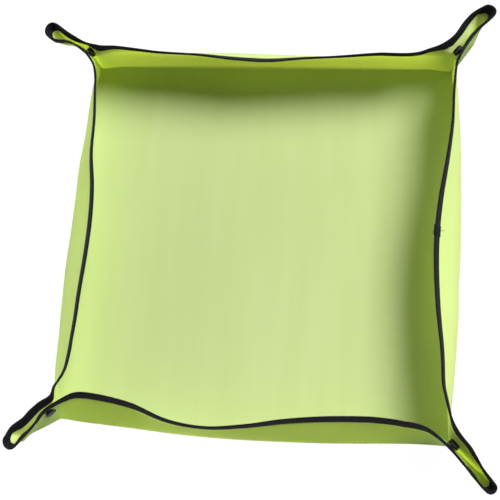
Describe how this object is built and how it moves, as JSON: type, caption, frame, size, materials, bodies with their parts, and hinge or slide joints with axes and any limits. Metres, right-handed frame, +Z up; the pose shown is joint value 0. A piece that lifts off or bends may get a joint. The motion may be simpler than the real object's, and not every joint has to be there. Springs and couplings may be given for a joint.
{
  "type": "repotting mat",
  "caption": "Square coated-cloth mat with bound edges, its corners pinched by press studs so that it stands as a shallow tray for potting plants.",
  "frame": {"origin": "middle of the floor panel, on its underside", "axes": "+Z up out of the tray, -Y towards the front wall, +X to the right"},
  "size_m": [0.6266, 0.6192, 0.0872],
  "materials": {
    "cloth": "yellow-green woven cloth with a smooth, slightly glossy waterproof coating",
    "tape": "matte black woven binding tape, stitched",
    "snap": "smooth black moulded plastic"
  },
  "bodies": {
    "floor": {"mat_floor": "cloth"},
    "wall_front": {"wall_front": "cloth", "binding_front": "tape"},
    "wall_right": {"wall_right": "cloth", "binding_right": "tape", "binding_lap": "tape"},
    "wall_back": {"wall_back": "cloth", "binding_back": "tape"},
    "wall_left": {"wall_left": "cloth", "binding_left": "tape"},
    "ear_front_left": {"ear_front_left": "cloth", "ear_binding_front_left": "tape", "snap_cap_front_left": "snap", "snap_stud_front_left": "snap"},
    "ear_front_right": {"ear_front_right": "cloth", "ear_binding_front_right": "tape", "snap_cap_front_right": "snap", "snap_stud_front_right": "snap"},
    "ear_right_front": {"ear_right_front": "cloth", "ear_binding_right_front": "tape", "snap_cap_right_front": "snap", "snap_socket_right_front": "snap"},
    "ear_right_back": {"ear_right_back": "cloth", "ear_binding_right_back": "tape", "snap_cap_right_back": "snap", "snap_socket_right_back": "snap"},
    "ear_back_right": {"ear_back_right": "cloth", "ear_binding_back_right": "tape", "snap_cap_back_right": "snap", "snap_stud_back_right": "snap"},
    "ear_back_left": {"ear_back_left": "cloth", "ear_binding_back_left": "tape", "snap_cap_back_left": "snap", "snap_stud_back_left": "snap"},
    "ear_left_back": {"ear_left_back": "cloth", "ear_binding_left_back": "tape", "snap_cap_left_back": "snap", "snap_socket_left_back": "snap"},
    "ear_left_front": {"ear_left_front": "cloth", "ear_binding_left_front": "tape", "snap_cap_left_front": "snap", "snap_socket_left_front": "snap"}
  },
  "joints": [
    {"name": "fold_front", "type": "hinge", "parent": "floor", "child": "wall_front", "pos_m": [0, -0.26, 0.0003], "axis": [1, 0, 0], "range_deg": [0, 86]},
    {"name": "fold_right", "type": "hinge", "parent": "floor", "child": "wall_right", "pos_m": [0.26, 0, 0.0003], "axis": [0, 1, 0], "range_deg": [0, 91.5]},
    {"name": "fold_back", "type": "hinge", "parent": "floor", "child": "wall_back", "pos_m": [0, 0.26, 0.0003], "axis": [-1, 0, 0], "range_deg": [0, 92]},
    {"name": "fold_left", "type": "hinge", "parent": "floor", "child": "wall_left", "pos_m": [-0.26, 0, 0.0003], "axis": [0, -1, 0], "range_deg": [0, 98.5]},
    {"name": "crease_front_left", "type": "hinge", "parent": "wall_front", "child": "ear_front_left", "pos_m": [-0.25689, -0.26, 0.0003], "axis": [-0.2418, -0.2418, -0.9397], "range_deg": [0, 51.8]},
    {"name": "crease_front_right", "type": "hinge", "parent": "wall_front", "child": "ear_front_right", "pos_m": [0.25689, -0.26, 0.0003], "axis": [-0.1349, 0.1349, 0.9816], "range_deg": [0, 50.5]},
    {"name": "crease_right_front", "type": "hinge", "parent": "wall_right", "child": "ear_right_front", "pos_m": [0.26, -0.25689, 0.0003], "axis": [0.1349, -0.1349, -0.9816], "range_deg": [0, 50.5]},
    {"name": "crease_right_back", "type": "hinge", "parent": "wall_right", "child": "ear_right_back", "pos_m": [0.26, 0.25689, 0.0003], "axis": [-0.0862, -0.0862, 0.9925], "range_deg": [0, 50.2]},
    {"name": "crease_back_right", "type": "hinge", "parent": "wall_back", "child": "ear_back_right", "pos_m": [0.25689, 0.26, 0.0003], "axis": [0.0862, 0.0862, -0.9925], "range_deg": [0, 50.2]},
    {"name": "crease_back_left", "type": "hinge", "parent": "wall_back", "child": "ear_back_left", "pos_m": [-0.25689, 0.26, 0.0003], "axis": [0.1711, -0.1711, 0.9703], "range_deg": [0, 49.9]},
    {"name": "crease_left_back", "type": "hinge", "parent": "wall_left", "child": "ear_left_back", "pos_m": [-0.26, 0.25689, 0.0003], "axis": [-0.1711, 0.1711, -0.9703], "range_deg": [0, 67.9]},
    {"name": "crease_left_front", "type": "hinge", "parent": "wall_left", "child": "ear_left_front", "pos_m": [-0.26, -0.25689, 0.0003], "axis": [0.2418, 0.2418, 0.9397], "range_deg": [0, 51.8]}
  ],
  "couplings": [
    {"joint": "fold_right", "follows": "fold_front", "ratio": 1.0639},
    {"joint": "fold_back", "follows": "fold_front", "ratio": 1.0697},
    {"joint": "fold_left", "follows": "fold_front", "ratio": 1.1453},
    {"joint": "crease_front_left", "follows": "fold_front", "ratio": 0.6023},
    {"joint": "crease_front_right", "follows": "fold_front", "ratio": 0.5872},
    {"joint": "crease_right_front", "follows": "fold_front", "ratio": 0.5872},
    {"joint": "crease_right_back", "follows": "fold_front", "ratio": 0.5837},
    {"joint": "crease_back_right", "follows": "fold_front", "ratio": 0.5837},
    {"joint": "crease_back_left", "follows": "fold_front", "ratio": 0.5802},
    {"joint": "crease_left_back", "follows": "fold_front", "ratio": 0.7895},
    {"joint": "crease_left_front", "follows": "fold_front", "ratio": 0.6023}
  ]
}
